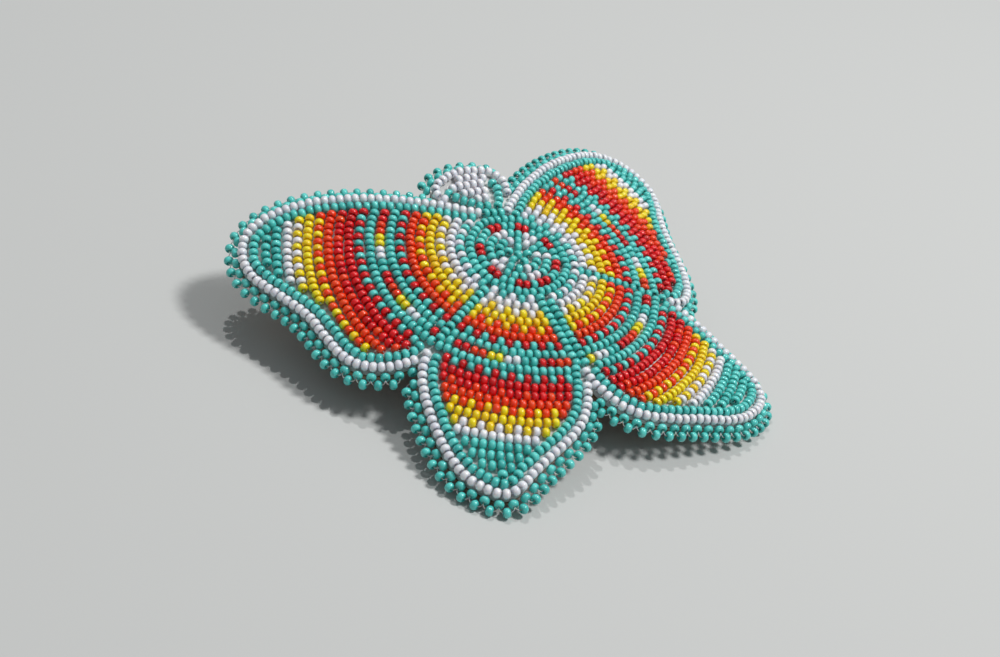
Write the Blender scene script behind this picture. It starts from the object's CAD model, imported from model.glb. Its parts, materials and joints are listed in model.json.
import json
import math
import random
import bmesh
import bpy
import numpy as np
from mathutils import Matrix, Vector

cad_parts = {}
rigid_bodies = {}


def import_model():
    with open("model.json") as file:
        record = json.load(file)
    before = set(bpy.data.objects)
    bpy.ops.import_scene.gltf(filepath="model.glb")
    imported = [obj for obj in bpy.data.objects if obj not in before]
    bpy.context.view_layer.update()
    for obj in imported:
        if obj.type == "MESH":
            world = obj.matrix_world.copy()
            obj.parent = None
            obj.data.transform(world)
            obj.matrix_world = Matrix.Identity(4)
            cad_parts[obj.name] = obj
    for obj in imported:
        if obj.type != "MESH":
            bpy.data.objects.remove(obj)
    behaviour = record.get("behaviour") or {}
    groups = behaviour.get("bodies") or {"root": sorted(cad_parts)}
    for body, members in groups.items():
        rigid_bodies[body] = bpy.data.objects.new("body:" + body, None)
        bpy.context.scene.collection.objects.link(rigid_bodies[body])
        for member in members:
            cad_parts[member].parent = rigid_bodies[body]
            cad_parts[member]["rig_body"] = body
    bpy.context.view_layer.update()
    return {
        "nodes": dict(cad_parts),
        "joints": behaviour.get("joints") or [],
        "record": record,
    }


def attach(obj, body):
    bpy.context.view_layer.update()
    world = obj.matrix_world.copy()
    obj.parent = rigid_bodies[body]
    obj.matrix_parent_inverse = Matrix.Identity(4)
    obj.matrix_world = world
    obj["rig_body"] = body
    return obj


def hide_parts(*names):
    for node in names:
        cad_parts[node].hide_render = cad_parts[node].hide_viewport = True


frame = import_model()
random.seed(11)
mm = 0.001
nodes = frame["nodes"]
slotOf = {part["node"]: part["material_slot"] for part in frame["record"]["subparts"]}
hinge = next(joint for joint in frame["joints"] if joint["name"] == "clasp_hinge")

# the beaded panel is arched about a line along the butterfly's body and leans back on its wing tips
panel = {
    "body": "panel",
    "archRadius": 132 * mm,                            # to the top of the felt
    "rosette": Vector((0.163, 9.432, 18.933)) * mm,    # felt under the middle bead
    "thickness": 1.96 * mm,                            # felt, card and suede together
}
acrossWay = Vector((1, 0, 0))
headWay = Vector(hinge["axis"]).normalized()
frontWay = acrossWay.cross(headWay)
archCentre = panel["rosette"] - panel["archRadius"] * frontWay


def fromPanel(across, toHead, out):
    # a place given in mm from the rosette, in the leaning panel's own directions
    return panel["rosette"] + (across * acrossWay + toHead * headWay + out * frontWay) * mm


def outOfPanel(point):
    # straight out of the arch at a point, and how far the point lies from the arch's centre line
    arm = point - archCentre
    arm -= arm.dot(headWay) * headWay
    return arm.normalized(), arm.length


# ---- small helpers
def toLinear(hexColour):
    shades = [int(hexColour[i:i + 2], 16) / 255 for i in (0, 2, 4)]
    return [s / 12.92 if s <= 0.04045 else ((s + 0.055) / 1.055) ** 2.4 for s in shades] + [1.0]


def addNode(tree, kind, settings=None, links=None):
    # one node, with values for its sockets or properties, and what feeds its sockets
    node = tree.nodes.new(kind)
    for name, value in (settings or {}).items():
        if isinstance(name, int) or name in node.inputs:
            node.inputs[name].default_value = value
        else:
            setattr(node, name, value)
    for name, source in (links or {}).items():
        tree.links.new(source, node.inputs[name])
    return node


def newMaterial(name):
    material = bpy.data.materials.new(name)
    material.use_nodes = True
    tree = material.node_tree
    tree.nodes.clear()
    shader = addNode(tree, "ShaderNodeBsdfPrincipled")
    addNode(tree, "ShaderNodeOutputMaterial", links={"Surface": shader.outputs["BSDF"]})
    place = addNode(tree, "ShaderNodeTexCoord")
    return material, tree, shader, place.outputs["Object"]


def mixColours(tree, factor, first, second, how="MIX"):
    # first and second are a colour or the socket that gives one
    mixer = addNode(tree, "ShaderNodeMix", {"data_type": "RGBA", "blend_type": how})
    for index, value in ((0, factor), (6, first), (7, second)):
        if isinstance(value, bpy.types.NodeSocket):
            tree.links.new(value, mixer.inputs[index])
        else:
            mixer.inputs[index].default_value = value
    return mixer.outputs[2]


def startFresh():
    if bpy.context.object and bpy.context.object.mode != "OBJECT":
        bpy.ops.object.mode_set(mode="OBJECT")
    bpy.ops.object.select_all(action="DESELECT")


def finishPiece(piece, name, body, material, replaced=()):
    piece.name = name
    piece.data.name = name
    piece.data.materials.clear()
    piece.data.materials.append(material)
    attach(piece, body)
    if replaced:
        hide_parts(*replaced)
    return piece


# ---- glass of the beads
glassColours = {    # body colour, darkest and lightest bead of a batch, roughness, how deep light goes in
    "teal_bead": {"colour": "58d4cc", "dark": "44beb8", "light": "6ce2da", "rough": 0.30, "depth": 0.35},
    "white_bead": {"colour": "f2f2f8", "dark": "e6e6f0", "light": "f8f8fc", "rough": 0.32, "depth": 0.50},
    "red_bead": {"colour": "e60410", "dark": "cc030c", "light": "f20a18", "rough": 0.27, "depth": 0.55},
    "orange_bead": {"colour": "ff4000", "dark": "ff3400", "light": "ff520c", "rough": 0.27, "depth": 0.55},
    "yellow_bead": {"colour": "ffe000", "dark": "fccc00", "light": "ffe808", "rough": 0.28, "depth": 0.50},
}


def pressedGlass(slot, look):
    # opaque seed-bead glass, drawn as a tube, chopped and tumbled in heat: wet gloss over solid colour,
    # ends a little duller than the belly, a faint waviness that breaks up the highlight
    material, tree, shader, place = newMaterial("opaque tumbled glass, " + slot.replace("_", " "))
    tone = addNode(tree, "ShaderNodeAttribute", {"attribute_name": "tone"}).outputs["Fac"]
    end = addNode(tree, "ShaderNodeAttribute", {"attribute_name": "end"}).outputs["Fac"]
    ramp = addNode(tree, "ShaderNodeValToRGB", links={"Fac": tone})
    stops = ramp.color_ramp.elements
    stops[0].color = toLinear(look["dark"])
    stops[1].color = toLinear(look["light"])
    middle = stops.new(0.5)
    middle.color = toLinear(look["colour"])
    # streaks of the drawn tube, about half a millimetre apart
    streaks = addNode(tree, "ShaderNodeTexNoise", {"Scale": 2000.0, "Detail": 2.0, "Roughness": 0.6},
                      {"Vector": place})
    streaky = mixColours(tree, streaks.outputs["Fac"], (0.93, 0.93, 0.93, 1), (1.04, 1.04, 1.04, 1))
    body = mixColours(tree, 1.0, ramp.outputs["Color"], streaky, "MULTIPLY")
    shaded = mixColours(tree, end, body, toLinear(look["dark"]))
    tree.links.new(shaded, shader.inputs["Base Color"])
    gloss = addNode(tree, "ShaderNodeMapRange", {"To Min": look["rough"], "To Max": 0.45}, {"Value": end})
    tree.links.new(gloss.outputs["Result"], shader.inputs["Roughness"])
    # waviness left by tumbling, 0.25 mm across
    waves = addNode(tree, "ShaderNodeTexNoise", {"Scale": 4000.0, "Detail": 1.0}, {"Vector": place})
    bump = addNode(tree, "ShaderNodeBump", {"Strength": 0.12, "Distance": 0.02 * mm},
                   {"Height": waves.outputs["Fac"]})
    tree.links.new(bump.outputs["Normal"], shader.inputs["Normal"])
    shader.inputs["IOR"].default_value = 1.52
    shader.inputs["Coat Weight"].default_value = 0.6
    shader.inputs["Coat Roughness"].default_value = 0.1
    shader.inputs["Subsurface Weight"].default_value = look["depth"]
    shader.inputs["Subsurface Radius"].default_value = (1.0, 0.8, 0.7)
    shader.inputs["Subsurface Scale"].default_value = 0.9 * mm
    return material


glass = {slot: pressedGlass(slot, look) for slot, look in glassColours.items()}
print("glass ready:", ", ".join(glass))

# ---- one seed bead in a few uneven kinds
seedBead = {
    "outer": 1.045 * mm,
    "bore": 0.27 * mm,
    "halfLength": 0.79 * mm,
    "around": 11,
    "across": 7,
    "shoulder": (0.68, 1.06),    # rings either side of the belly, drawn in along the thread and across it
    "rim": (1.0, 1.1),          # rings round the mouth of the hole
    "kinds": 6,
    "lengthFrom": 0.93,      # of the nominal length, for the shortest kind
    "unevenness": 0.02 * mm,
    "sizeFrom": 0.965,      # of the nominal size, against 1 for the largest
    "leanDegrees": 5,
    "toneSpread": 0.22,     # how far a bead's tone strays from the middle of its batch
    "endDulling": 0.8,      # how far the chopped ends lose the belly's gloss and colour
}


def drawIn(made, nearest, along, across):
    # resizes the two rings of a bead that lie at this distance from its middle
    bpy.ops.mesh.select_all(action="DESELECT")
    work = bmesh.from_edit_mesh(made.data)
    for vert in work.verts:
        vert.select = abs(abs(vert.co.z) - nearest) < 0.02 * mm
    work.select_flush_mode()
    bmesh.update_edit_mesh(made.data)
    bpy.ops.transform.resize(value=(across, across, along))


def modelBead(kind):
    startFresh()
    wall = (seedBead["outer"] - seedBead["bore"]) / 2
    bpy.ops.mesh.primitive_torus_add(major_radius=seedBead["bore"] + wall, minor_radius=wall,
                                     major_segments=seedBead["around"], minor_segments=seedBead["across"])
    made = bpy.context.object
    bpy.ops.object.mode_set(mode="EDIT")
    bpy.ops.mesh.select_all(action="SELECT")
    bpy.ops.transform.resize(value=(1, 1, seedBead["halfLength"] / wall))
    turn = 2 * math.pi / seedBead["across"]
    drawIn(made, seedBead["halfLength"] * math.sin(turn), *seedBead["shoulder"])
    drawIn(made, seedBead["halfLength"] * math.sin(2 * turn), *seedBead["rim"])
    bpy.ops.mesh.select_all(action="SELECT")
    bpy.ops.transform.resize(value=(1, 1, random.uniform(seedBead["lengthFrom"], 1.0)))
    bpy.ops.transform.vertex_random(offset=seedBead["unevenness"], uniform=1.0, normal=0.0, seed=kind)
    bpy.ops.object.mode_set(mode="OBJECT")
    bpy.ops.object.shade_smooth()
    made.name = "bead_kind_%d" % kind
    return made


beadKinds = [modelBead(kind) for kind in range(seedBead["kinds"])]


def sewnBeads(node):
    # middle and thread direction of every bead in a CAD node, from the loose triangles of its solids
    mesh = nodes[node].data
    mesh.calc_loop_triangles()
    points = np.empty(len(mesh.vertices) * 3)
    mesh.vertices.foreach_get("co", points)
    points = points.reshape(-1, 3)
    corners = np.empty(len(mesh.loop_triangles) * 3, int)
    mesh.loop_triangles.foreach_get("vertices", corners)
    _, same = np.unique(np.round(points / (0.002 * mm)).astype(int), axis=0, return_inverse=True)
    triangles = same.ravel()[corners].reshape(-1, 3)
    group = np.arange(same.max() + 1)
    while True:
        lowest = group[triangles].min(axis=1)
        joined = group.copy()
        np.minimum.at(joined, triangles, lowest[:, None])
        if (joined == group).all():
            break
        group = joined
    a, b, c = (points[corners.reshape(-1, 3)[:, k]] for k in range(3))
    area = np.linalg.norm(np.cross(b - a, c - a), axis=1) / 2
    middle = (a + b + c) / 3
    _, bead = np.unique(group[triangles[:, 0]], return_inverse=True)
    bead = bead.ravel()
    total = np.bincount(bead, area)
    centres = np.stack([np.bincount(bead, area * middle[:, k]) / total for k in range(3)], axis=1)
    off = middle - centres[bead]
    spread = np.zeros((len(total), 3, 3))
    np.add.at(spread, bead, area[:, None, None] * off[:, :, None] * off[:, None, :])
    threadWays = np.linalg.eigh(spread)[1][:, :, 0]      # a bead is shortest along its thread
    whole = total > 0.5 * np.median(total)
    return [(Vector(p), Vector(w)) for p, w in zip(centres[whole], threadWays[whole])]


def beadPlace(centre, threadWay, looseness=1.0):
    # where one bead sits: on its thread, spun and tipped at random, never larger than nominal
    out, _ = outOfPanel(centre)
    side = threadWay.cross(out).normalized()
    turn = Matrix((side, threadWay.cross(side), threadWay)).transposed().to_4x4()
    spin = Matrix.Rotation(random.uniform(0, 2 * math.pi), 4, "Z")
    lean = math.radians(seedBead["leanDegrees"]) * looseness
    tip = Matrix.Rotation(random.uniform(-lean, lean), 4, "X")
    tip = tip @ Matrix.Rotation(random.uniform(-lean, lean), 4, "Y")
    size = random.uniform(seedBead["sizeFrom"], 1.0)
    return Matrix.Translation(centre) @ turn @ tip @ spin @ Matrix.Scale(size, 4)


def copyTo(name, masters, places):
    # one mesh with a copy of a master at each place
    work = bmesh.new()
    for place in places:
        copy = random.choice(masters).data.copy()
        copy.transform(place)
        work.from_mesh(copy)
        bpy.data.meshes.remove(copy)
    mesh = bpy.data.meshes.new(name)
    work.to_mesh(mesh)
    work.free()
    piece = bpy.data.objects.new(name, mesh)
    bpy.context.scene.collection.objects.link(piece)
    return piece


beadNodes = sorted(node for node in nodes if slotOf[node] in glass)
sewn = {node: sewnBeads(node) for node in beadNodes}
print("beads found:", sum(len(beads) for beads in sewn.values()))

# hand sewing: beads crowd against each other and drift a little into what room there is
drift = {
    "rounds": 8,
    "rowPitch": 2.05 * mm,
    "beadPitch": 1.62 * mm,
    "reach": 1.16,          # in row pitches: how near a neighbour still pushes
    "push": 0.12,           # share of the crowding let off in each round
    "limit": 0.34 * mm,     # farthest that a bead may drift
    "wander": 0.05 * mm,
    "held": 0.5,            # how much of its wandering along the row the thread takes back
}


def settleBeads():
    # pushes crowded beads apart over the cloth; a bead is shorter along its thread, so it crowds less there
    free = [node for node in beadNodes if "edging" not in node]
    spots = np.array([p for node in free for p, _ in sewn[node]])
    ways = np.array([w for node in free for _, w in sewn[node]])
    fixed = np.array(["outline" in node for node in free for _ in sewn[node]])
    outs = np.array([outOfPanel(Vector(p))[0] for p in spots])
    start = spots.copy()
    stretch = (drift["rowPitch"] / drift["beadPitch"]) ** 2 - 1
    for _ in range(drift["rounds"]):
        gap = spots[:, None, :] - spots[None, :, :]
        threadwise = np.einsum("ijk,ik->ij", gap, ways)
        far = np.sqrt((gap ** 2).sum(axis=2) + threadwise ** 2 * stretch)
        close = np.clip(drift["reach"] * drift["rowPitch"] - far, 0, None) * (far > 0)
        shift = (gap * (close / np.maximum(far, 1e-9))[:, :, None]).sum(axis=1) * drift["push"]
        shift -= outs * (shift * outs).sum(axis=1)[:, None]
        shift[fixed] = 0
        spots = spots + shift
        moved = spots - start
        length = np.maximum(np.linalg.norm(moved, axis=1), 1e-9)
        spots = start + moved * np.minimum(1, drift["limit"] / length)[:, None]
    counter = 0
    for node in free:
        for index, (_, way) in enumerate(sewn[node]):
            loose = Vector([random.gauss(0, drift["wander"]) for _ in range(3)])
            loose -= loose.dot(way) * way * drift["held"]
            sewn[node][index] = (Vector(spots[counter]) + loose, way)
            counter += 1


settleBeads()
print("beads settled")

master = np.array([vert.co for vert in beadKinds[0].data.vertices])
inBore = np.hypot(master[:, 0], master[:, 1]) < (seedBead["bore"] + seedBead["outer"]) / 2
for node in beadNodes:
    piece = copyTo(node + "_glass", beadKinds, [beadPlace(p, w) for p, w in sewn[node]])
    tones = [min(1.0, max(0.0, random.gauss(0.5, seedBead["toneSpread"]))) for _ in sewn[node]]
    for attribute, values in (("tone", np.repeat(tones, len(master))),
                              ("end", np.tile(inBore, len(sewn[node])) * seedBead["endDulling"])):
        piece.data.attributes.new(attribute, "FLOAT", "POINT").data.foreach_set("value", values)
    finishPiece(piece, node + "_glass", panel["body"], glass[slotOf[node]], [node])
print("beads sewn on:", len(beadNodes), "pieces")

# ---- beading thread
thread = {
    "radius": 0.08 * mm,
    "rowReach": 0.90 * mm,      # half of each length seen between two beads of a row
    "footRise": -0.47 * mm,     # edging beads above this height over the felt are the feet
    "footHeight": -0.2 * mm,    # of a foot's middle over the felt
    "footSpacing": 3.4 * mm,    # farthest from a standing bead to the feet it is threaded to
    "inFoot": 0.5 * mm,         # from a foot's middle to where the thread starts in its hole
    "offFoot": 1.0 * mm,        # and to where it turns
    "inBead": 0.4 * mm,         # and the same from a standing bead, and from a foot's other end
    "offBead": 0.95 * mm,
    "overEdge": 1.3 * mm,       # drop over the side of the felt
    "underEdge": 1.1 * mm,      # in from the foot, where the thread passes under the suede's edge
    "bulge": (-0.05 * mm, 0.15 * mm),
    "stitch": (2.3 * mm, 2.9 * mm),    # how far in from the foot each stitch enters the suede
    "bite": (0.2 * mm, 0.4 * mm),      # in and up, where it goes into the suede
    "colour": "dfe2e0",
    "shade": "b9bebd",
}


def waxedThread(name, colour, shade):
    # bonded nylon beading thread, waxed: translucent white filament with a soft shine, twisted
    material, tree, shader, place = newMaterial(name)
    # twist of the plies, about 0.3 mm from ply to ply
    plies = addNode(tree, "ShaderNodeTexNoise", {"Scale": 3300.0, "Detail": 2.0}, {"Vector": place})
    tree.links.new(mixColours(tree, plies.outputs["Fac"], toLinear(shade), toLinear(colour)),
                   shader.inputs["Base Color"])
    bump = addNode(tree, "ShaderNodeBump", {"Strength": 0.4, "Distance": 0.05 * mm},
                   {"Height": plies.outputs["Fac"]})
    tree.links.new(bump.outputs["Normal"], shader.inputs["Normal"])
    shader.inputs["Roughness"].default_value = 0.38
    shader.inputs["IOR"].default_value = 1.53
    shader.inputs["Subsurface Weight"].default_value = 0.4
    shader.inputs["Subsurface Scale"].default_value = 0.3 * mm
    shader.inputs["Sheen Weight"].default_value = 0.2
    return material


nylon = waxedThread("waxed nylon beading thread", thread["colour"], thread["shade"])

startFresh()
bpy.ops.mesh.primitive_cylinder_add(vertices=6, radius=thread["radius"], depth=2 * thread["rowReach"])
rowThread = bpy.context.object
bpy.ops.object.shade_smooth()
rows = []
for node in beadNodes:
    if "edging" not in node:
        for centre, threadWay in sewn[node]:
            rows.append(Matrix.Translation(centre) @ threadWay.to_track_quat("Z", "Y").to_matrix().to_4x4())
piece = copyTo("row_threads", [rowThread], rows)
finishPiece(piece, "row_threads", panel["body"], nylon)


def threadPiece(name, runs):
    # short lengths of thread along smooth curves, one spline for each run of points
    curve = bpy.data.curves.new(name, "CURVE")
    curve.dimensions = "3D"
    curve.bevel_depth = thread["radius"]
    curve.bevel_resolution = 1
    curve.resolution_u = 3
    curve.use_fill_caps = True
    for run in runs:
        spline = curve.splines.new("NURBS")
        spline.points.add(len(run) - 1)
        for knot, point in zip(spline.points, run):
            knot.co = (*point, 1)
        spline.order_u = 3
        spline.use_endpoint_u = True
    piece = bpy.data.objects.new(name, curve)
    bpy.context.scene.collection.objects.link(piece)
    startFresh()
    piece.select_set(True)
    bpy.context.view_layer.objects.active = piece
    bpy.ops.object.convert(target="MESH")
    bpy.ops.object.shade_smooth()
    return bpy.context.object


loops = []      # thread from each standing edging bead down into the two feet beside it
whips = []      # thread from each foot over the edge and into the suede
for node in beadNodes:
    if "edging" not in node:
        continue
    feet, standing = [], []
    for centre, threadWay in sewn[node]:
        height = outOfPanel(centre)[1] - panel["archRadius"]
        (feet if height > thread["footRise"] else standing).append((centre, threadWay))
    outward = {}
    for centre, threadWay in standing:
        for side in (-1, 1):
            near = [(foot, way) for foot, way in feet
                    if side * (foot - centre).dot(threadWay) > 0
                    and (foot - centre).length < thread["footSpacing"]]
            if not near:
                continue
            foot, way = min(near, key=lambda pair: (pair[0] - centre).length)
            way = way if (centre - foot).dot(way) > 0 else -way
            outward[tuple(foot)] = (foot, way)
            bulge = outOfPanel(foot)[0] * random.uniform(*thread["bulge"])
            aside = side * threadWay
            loops.append([foot + way * thread["inFoot"], foot + way * thread["offFoot"] + bulge,
                          centre + aside * thread["offBead"] + bulge, centre + aside * thread["inBead"]])
    for foot, way in outward.values():
        out, _ = outOfPanel(foot)
        drop = thread["footHeight"] + panel["thickness"] + thread["radius"]
        mouth = foot - way * thread["offBead"]
        enters = foot - way * random.uniform(*thread["stitch"]) - out * drop
        into, up = thread["bite"]
        run = [foot - way * thread["inBead"], mouth, mouth - out * thread["overEdge"],
               foot - way * thread["underEdge"] - out * drop, enters, enters - way * into + out * up]
        for point in run:
            point.z = max(point.z, thread["radius"])
        whips.append(run)
finishPiece(threadPiece("edging_thread", loops), "edging_thread", panel["body"], nylon)
finishPiece(threadPiece("edge_stitches", whips), "edge_stitches", panel["body"], nylon)
for spare in beadKinds + [rowThread]:
    bpy.data.objects.remove(spare)
print("thread laid:", len(rows), "row lengths,", len(loops), "edging lengths,", len(whips), "edge stitches")

# ---- felt, card and suede
cloth = {
    "felt": "e4e4e2", "feltShade": "c9cac8",
    "card": "b9a27c", "cardShade": "a58e69",
    "suede": "8a6f55", "suedeDark": "6f573f", "suedeLight": "a0846a",
}


def pressedFelt():
    # stiff beading felt, needle-punched wool and rayon: matt, white, with short crossed fibres
    material, tree, shader, place = newMaterial("needle-punched felt")
    tufts = addNode(tree, "ShaderNodeTexNoise", {"Scale": 900.0, "Detail": 6.0, "Roughness": 0.7},
                    {"Vector": place})
    fibres = addNode(tree, "ShaderNodeTexNoise", {"Scale": 5000.0, "Detail": 4.0, "Distortion": 2.0},
                     {"Vector": place})
    both = mixColours(tree, 0.5, tufts.outputs["Color"], fibres.outputs["Color"])
    grey = addNode(tree, "ShaderNodeRGBToBW", links={"Color": both})
    wool = mixColours(tree, grey.outputs["Val"], toLinear(cloth["feltShade"]), toLinear(cloth["felt"]))
    tree.links.new(wool, shader.inputs["Base Color"])
    bump = addNode(tree, "ShaderNodeBump", {"Strength": 0.8, "Distance": 0.15 * mm},
                   {"Height": grey.outputs["Val"]})
    tree.links.new(bump.outputs["Normal"], shader.inputs["Normal"])
    shader.inputs["Roughness"].default_value = 0.95
    shader.inputs["Sheen Weight"].default_value = 0.5
    shader.inputs["Specular IOR Level"].default_value = 0.2
    return material


def nappedSuede():
    # split cowhide with the flesh side out: buffed nap about 0.4 mm long, brushed patches, no gloss
    material, tree, shader, place = newMaterial("buffed split suede")
    patches = addNode(tree, "ShaderNodeTexNoise", {"Scale": 70.0, "Detail": 3.0}, {"Vector": place})
    nap = addNode(tree, "ShaderNodeTexNoise", {"Scale": 2500.0, "Detail": 5.0, "Roughness": 0.75},
                  {"Vector": place})
    pores = addNode(tree, "ShaderNodeTexVoronoi", {"Scale": 900.0}, {"Vector": place})
    ramp = addNode(tree, "ShaderNodeValToRGB", links={"Fac": patches.outputs["Fac"]})
    ramp.color_ramp.elements[0].position = 0.35
    ramp.color_ramp.elements[0].color = toLinear(cloth["suedeDark"])
    ramp.color_ramp.elements[1].position = 0.65
    ramp.color_ramp.elements[1].color = toLinear(cloth["suedeLight"])
    grain = mixColours(tree, nap.outputs["Fac"], toLinear(cloth["suedeDark"]), toLinear(cloth["suedeLight"]))
    tree.links.new(mixColours(tree, 0.55, ramp.outputs["Color"], grain), shader.inputs["Base Color"])
    height = addNode(tree, "ShaderNodeMath", {"operation": "MULTIPLY"},
                     {0: nap.outputs["Fac"], 1: pores.outputs["Distance"]})
    bump = addNode(tree, "ShaderNodeBump", {"Strength": 0.7, "Distance": 0.12 * mm},
                   {"Height": height.outputs["Value"]})
    tree.links.new(bump.outputs["Normal"], shader.inputs["Normal"])
    shader.inputs["Roughness"].default_value = 0.92
    shader.inputs["Sheen Weight"].default_value = 0.35
    shader.inputs["Specular IOR Level"].default_value = 0.2
    return material


def greyCard():
    # thin grey-brown pasteboard between felt and suede: pressed pulp with flecks
    material, tree, shader, place = newMaterial("pressed pasteboard")
    pulp = addNode(tree, "ShaderNodeTexNoise", {"Scale": 1500.0, "Detail": 5.0}, {"Vector": place})
    flecked = mixColours(tree, pulp.outputs["Fac"], toLinear(cloth["cardShade"]), toLinear(cloth["card"]))
    tree.links.new(flecked, shader.inputs["Base Color"])
    bump = addNode(tree, "ShaderNodeBump", {"Strength": 0.3, "Distance": 0.05 * mm},
                   {"Height": pulp.outputs["Fac"]})
    tree.links.new(bump.outputs["Normal"], shader.inputs["Normal"])
    shader.inputs["Roughness"].default_value = 0.85
    return material


# ---- metal of the clip
metals = {
    "clip_steel": {"name": "nickel-plated pressed steel", "colour": "c3c3c1", "dark": "9c9c9a",
                   "roughness": (0.18, 0.34)},
    "spring_steel": {"name": "tempered rolled spring steel", "colour": "8d9296", "dark": "6b7076",
                     "roughness": (0.24, 0.42)},
    "rivet_steel": {"name": "nickel-plated hammered rivet", "colour": "cbcbc8", "dark": "a3a3a0",
                    "roughness": (0.14, 0.30)},
}


def platedMetal(look):
    # strip steel, rolled, pressed and plated: bright with fine draw marks along the clip,
    # cloudy where fingers touch it
    material, tree, shader, place = newMaterial(look["name"])
    drawn = addNode(tree, "ShaderNodeMapping", {"Scale": (0.04, 1.0, 1.0)}, {"Vector": place})
    marks = addNode(tree, "ShaderNodeTexNoise", {"Scale": 6000.0, "Detail": 3.0},
                    {"Vector": drawn.outputs["Vector"]})      # draw marks 0.15 mm apart
    clouds = addNode(tree, "ShaderNodeTexNoise", {"Scale": 220.0, "Detail": 4.0}, {"Vector": place})
    tree.links.new(mixColours(tree, clouds.outputs["Fac"], toLinear(look["dark"]), toLinear(look["colour"])),
                   shader.inputs["Base Color"])
    wear = addNode(tree, "ShaderNodeMath", {"operation": "MULTIPLY"},
                   {0: marks.outputs["Fac"], 1: clouds.outputs["Fac"]})
    low, high = look["roughness"]
    gloss = addNode(tree, "ShaderNodeMapRange", {"From Max": 0.5, "To Min": low, "To Max": high},
                    {"Value": wear.outputs["Value"]})
    tree.links.new(gloss.outputs["Result"], shader.inputs["Roughness"])
    bump = addNode(tree, "ShaderNodeBump", {"Strength": 0.25, "Distance": 0.01 * mm},
                   {"Height": marks.outputs["Fac"]})
    tree.links.new(bump.outputs["Normal"], shader.inputs["Normal"])
    shader.inputs["Metallic"].default_value = 1.0
    return material


finishes = {"felt": pressedFelt(), "card": greyCard(), "suede": nappedSuede(), "sewing_thread": nylon}
finishes.update({slot: platedMetal(look) for slot, look in metals.items()})

# pieces whose edges are really rounded by pressing, cutting or wear, and how wide the rounding is
edgeRounding = {
    "clip_bar": 0.14 * mm, "clasp_arm": 0.16 * mm, "catch_plate": 0.06 * mm, "catch_leg_front": 0.10 * mm,
    "catch_leg_back": 0.10 * mm, "bow_spring": 0.05 * mm, "bow_rivet": 0.14 * mm, "hinge_pin": 0.12 * mm,
    "leather_backing": 0.16 * mm, "felt_ground": 0.20 * mm,
}


def soften(node, width):
    # a merged copy of the plain piece with its sharp edges rolled over
    body = nodes[node]["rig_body"]
    startFresh()
    piece = bpy.data.objects.new(node + "_finished", nodes[node].data.copy())
    bpy.context.scene.collection.objects.link(piece)
    piece.select_set(True)
    bpy.context.view_layer.objects.active = piece
    bpy.ops.object.mode_set(mode="EDIT")
    bpy.ops.mesh.select_all(action="SELECT")
    bpy.ops.mesh.remove_doubles(threshold=0.001 * mm)
    bpy.ops.mesh.dissolve_limited(angle_limit=math.radians(1))
    bpy.ops.object.mode_set(mode="OBJECT")
    bevel = piece.modifiers.new("rolled edges", "BEVEL")
    bevel.width = width
    bevel.segments = 2
    bevel.limit_method = "ANGLE"
    bevel.angle_limit = math.radians(35)
    bevel.use_clamp_overlap = True
    bpy.ops.object.modifier_apply(modifier=bevel.name)
    bpy.ops.object.shade_smooth_by_angle(angle=math.radians(38))
    return finishPiece(piece, node + "_finished", body, finishes[slotOf[node]], [node])


for node, width in edgeRounding.items():
    soften(node, width)
for node in ("stiffener", "clip_stitches"):
    nodes[node].data.materials.clear()
    nodes[node].data.materials.append(finishes[slotOf[node]])
print("panel layers and clip finished")

# ---- table, light and camera
stand = {"floor": "cbccca", "side": 3.0}
startFresh()
bpy.ops.mesh.primitive_plane_add(size=stand["side"], location=(0, 0, 0))
floor = bpy.context.object
floor.name = "table"
paper, tree, shader, place = newMaterial("matt table paper")
shader.inputs["Base Color"].default_value = toLinear(stand["floor"])
shader.inputs["Roughness"].default_value = 0.9
shader.inputs["Specular IOR Level"].default_value = 0.2
floor.data.materials.append(paper)

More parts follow.
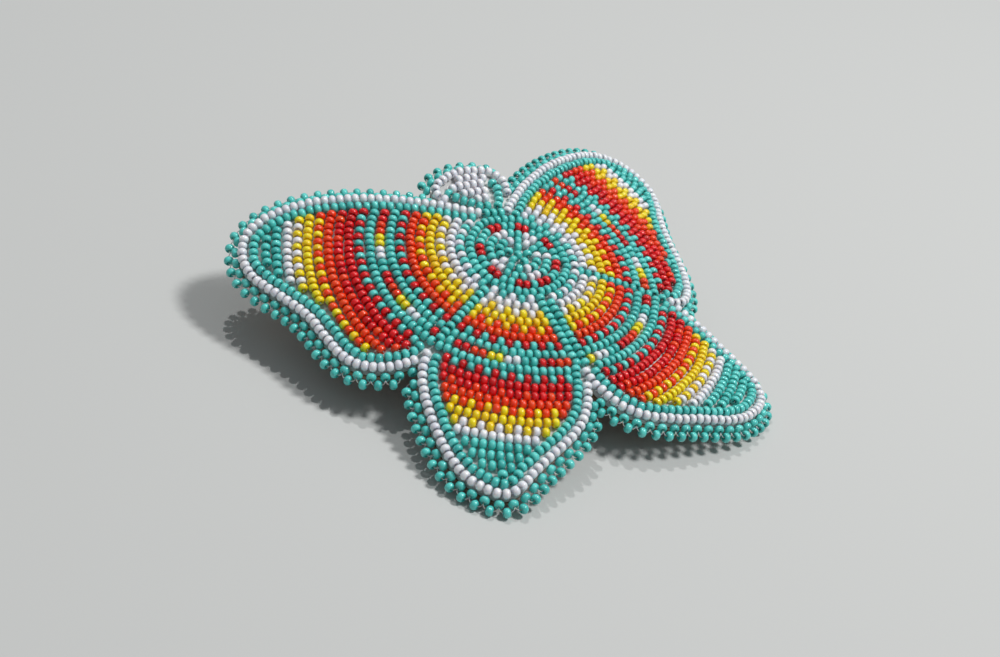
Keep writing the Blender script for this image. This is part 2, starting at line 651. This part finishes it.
shot = {
    "lens": 57.7,
    "from": (-176.16, -172.09, 221.11),      # mm from the rosette, in the panel's directions
    "right": (0.83733, -0.46254, 0.29143),
    "up": (0.18016, 0.73676, 0.65171),
}
rightWay = (fromPanel(*shot["right"]) - fromPanel(0, 0, 0)).normalized()
upWay = (fromPanel(*shot["up"]) - fromPanel(0, 0, 0)).normalized()
camera = bpy.data.objects.new("camera", bpy.data.cameras.new("camera"))
bpy.context.scene.collection.objects.link(camera)
camera.data.lens = shot["lens"]
camera.data.sensor_width = 36
camera.data.clip_start = 0.01
camera.matrix_world = (Matrix.Translation(fromPanel(*shot["from"]))
                       @ Matrix((rightWay, upWay, rightWay.cross(upWay))).transposed().to_4x4())
bpy.context.scene.camera = camera

tableRight = Vector((rightWay.x, rightWay.y, 0)).normalized()
tableAway = Vector((0, 0, 1)).cross(tableRight)
lamps = {    # azimuth from the camera's right towards the back, elevation, size, distance, strength in watts
    "window": {"azimuth": 112.6, "elevation": 65.8, "size": 0.03, "distance": 1.2, "power": 3.4},
    "sky": {"azimuth": 0.7, "elevation": 61.2, "size": 0.20, "distance": 1.1, "power": 7.9},
}
for name, lamp in lamps.items():
    azimuth, elevation = math.radians(lamp["azimuth"]), math.radians(lamp["elevation"])
    way = math.cos(elevation) * (math.cos(azimuth) * tableRight + math.sin(azimuth) * tableAway)
    way += math.sin(elevation) * Vector((0, 0, 1))
    light = bpy.data.objects.new(name, bpy.data.lights.new(name, "AREA"))
    bpy.context.scene.collection.objects.link(light)
    light.data.shape = "DISK"
    light.data.size = lamp["size"]
    light.data.energy = lamp["power"]
    light.location = way * lamp["distance"]
    light.rotation_euler = way.to_track_quat("Z", "Y").to_euler()

# even light of a pale room
world = bpy.data.worlds.new("studio")
world.use_nodes = True
world.node_tree.nodes["Background"].inputs["Color"].default_value = (0.93, 0.96, 1.0, 1.0)
world.node_tree.nodes["Background"].inputs["Strength"].default_value = 0.22
bpy.context.scene.world = world
bpy.context.scene.view_settings.view_transform = "Standard"
print("table, lamps and camera placed")
